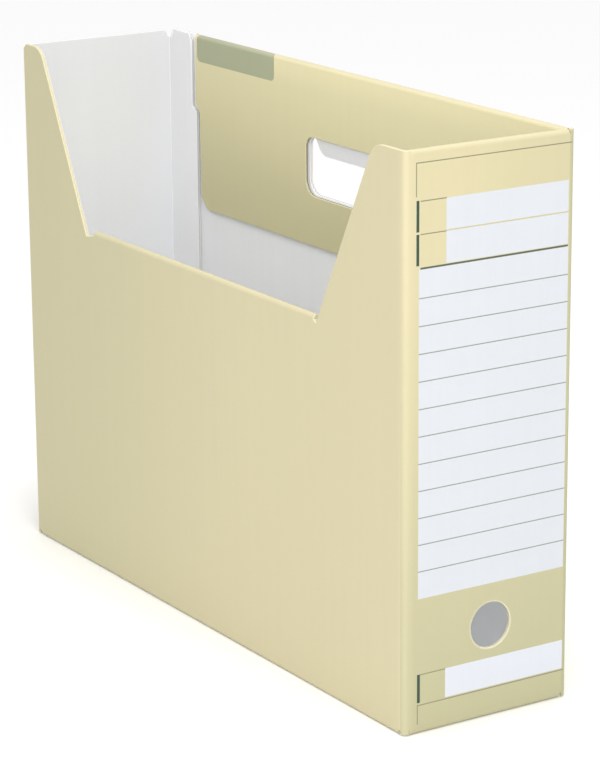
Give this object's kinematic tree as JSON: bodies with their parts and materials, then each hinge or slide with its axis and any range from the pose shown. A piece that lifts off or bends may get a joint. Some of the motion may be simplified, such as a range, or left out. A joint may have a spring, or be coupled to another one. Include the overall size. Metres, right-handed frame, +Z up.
{
  "type": "file box",
  "caption": "Open-topped file box of thin corrugated board: sloping cut-out in one long side, folded-over flap with a hand hole in the other, finger hole in the spine, and creases that let it fold flat.",
  "frame": {"origin": "middle of the box's footprint, on the surface it stands on", "axes": "+Z up; +Y from the spine with the finger hole to the end panel, along the long sides; +X from the side with the cut-out to the side with the hand hole"},
  "size_m": [0.1061, 0.3916, 0.2985],
  "materials": {
    "cream_board": "matte",
    "cream_flap": "matte",
    "white_board": "matte"
  },
  "bodies": {
    "right_side": {"right_side": "cream_board", "glue_flap": "white_board"},
    "fold_over_flap": {"fold_over_flap": "cream_flap"},
    "hand_hole_tongue": {"hand_hole_tongue": "white_board"},
    "spine": {"spine": "cream_board"},
    "spine_rim_flap": {"spine_rim_flap": "cream_flap"},
    "left_side": {"left_side": "cream_board"},
    "left_rim_flap": {"left_rim_flap": "cream_flap"},
    "end_panel": {"end_panel": "white_board"},
    "bottom_flap_left": {"bottom_flap_left": "cream_board"},
    "bottom_flap_right": {"bottom_flap_right": "cream_board"},
    "bottom_flap_spine": {"bottom_flap_spine": "cream_board"},
    "bottom_flap_end": {"bottom_flap_end": "cream_board"}
  },
  "joints": [
    {"name": "fold_flat", "type": "hinge", "parent": "right_side", "child": "spine", "pos_m": [0.05018, -0.19498, 0.14925], "axis": [0, 0, 1], "range_deg": [0, 80]},
    {"name": "left_side_corner", "type": "hinge", "parent": "spine", "child": "left_side", "pos_m": [-0.04877, -0.19357, 0.14925], "axis": [0, 0, -1], "range_deg": [0, 80]},
    {"name": "end_panel_corner", "type": "hinge", "parent": "right_side", "child": "end_panel", "pos_m": [0.04647, 0.19357, 0.14925], "axis": [0, 0, 1], "range_deg": [0, 80]},
    {"name": "bottom_left_crease", "type": "hinge", "parent": "left_side", "child": "bottom_flap_left", "pos_m": [-0.05024, 0, 0.00076], "axis": [0, 1, 0], "range_deg": [0, 90]},
    {"name": "bottom_right_crease", "type": "hinge", "parent": "right_side", "child": "bottom_flap_right", "pos_m": [0.05024, 0, 0.00076], "axis": [0, -1, 0], "range_deg": [0, 90]},
    {"name": "bottom_spine_crease", "type": "hinge", "parent": "spine", "child": "bottom_flap_spine", "pos_m": [0, -0.19504, 0.00076], "axis": [-1, 0, 0], "range_deg": [0, 90]},
    {"name": "bottom_end_crease", "type": "hinge", "parent": "end_panel", "child": "bottom_flap_end", "pos_m": [-0.00115, 0.19504, 0.00076], "axis": [1, 0, 0], "range_deg": [0, 90]},
    {"name": "fold_over", "type": "hinge", "parent": "right_side", "child": "fold_over_flap", "pos_m": [0.04875, 0, 0.2985], "axis": [0, 1, 0], "range_deg": [0, 180]},
    {"name": "spine_rim", "type": "hinge", "parent": "spine", "child": "spine_rim_flap", "pos_m": [0, -0.19355, 0.2985], "axis": [1, 0, 0], "range_deg": [0, 180]},
    {"name": "left_rim", "type": "hinge", "parent": "left_side", "child": "left_rim_flap", "pos_m": [-0.04875, 0, 0.2014], "axis": [0, -1, 0], "range_deg": [0, 180]},
    {"name": "tongue", "type": "hinge", "parent": "right_side", "child": "hand_hole_tongue", "pos_m": [0.051, 0, 0.25705], "axis": [0, -1, 0], "range_deg": [-22, 120]}
  ],
  "couplings": [
    {"joint": "left_side_corner", "follows": "fold_flat", "ratio": 1},
    {"joint": "end_panel_corner", "follows": "fold_flat", "ratio": 1},
    {"joint": "bottom_left_crease", "follows": "fold_flat", "ratio": 1.125},
    {"joint": "bottom_right_crease", "follows": "fold_flat", "ratio": 1.125},
    {"joint": "bottom_spine_crease", "follows": "fold_flat", "ratio": 1.125},
    {"joint": "bottom_end_crease", "follows": "fold_flat", "ratio": 1.125}
  ]
}
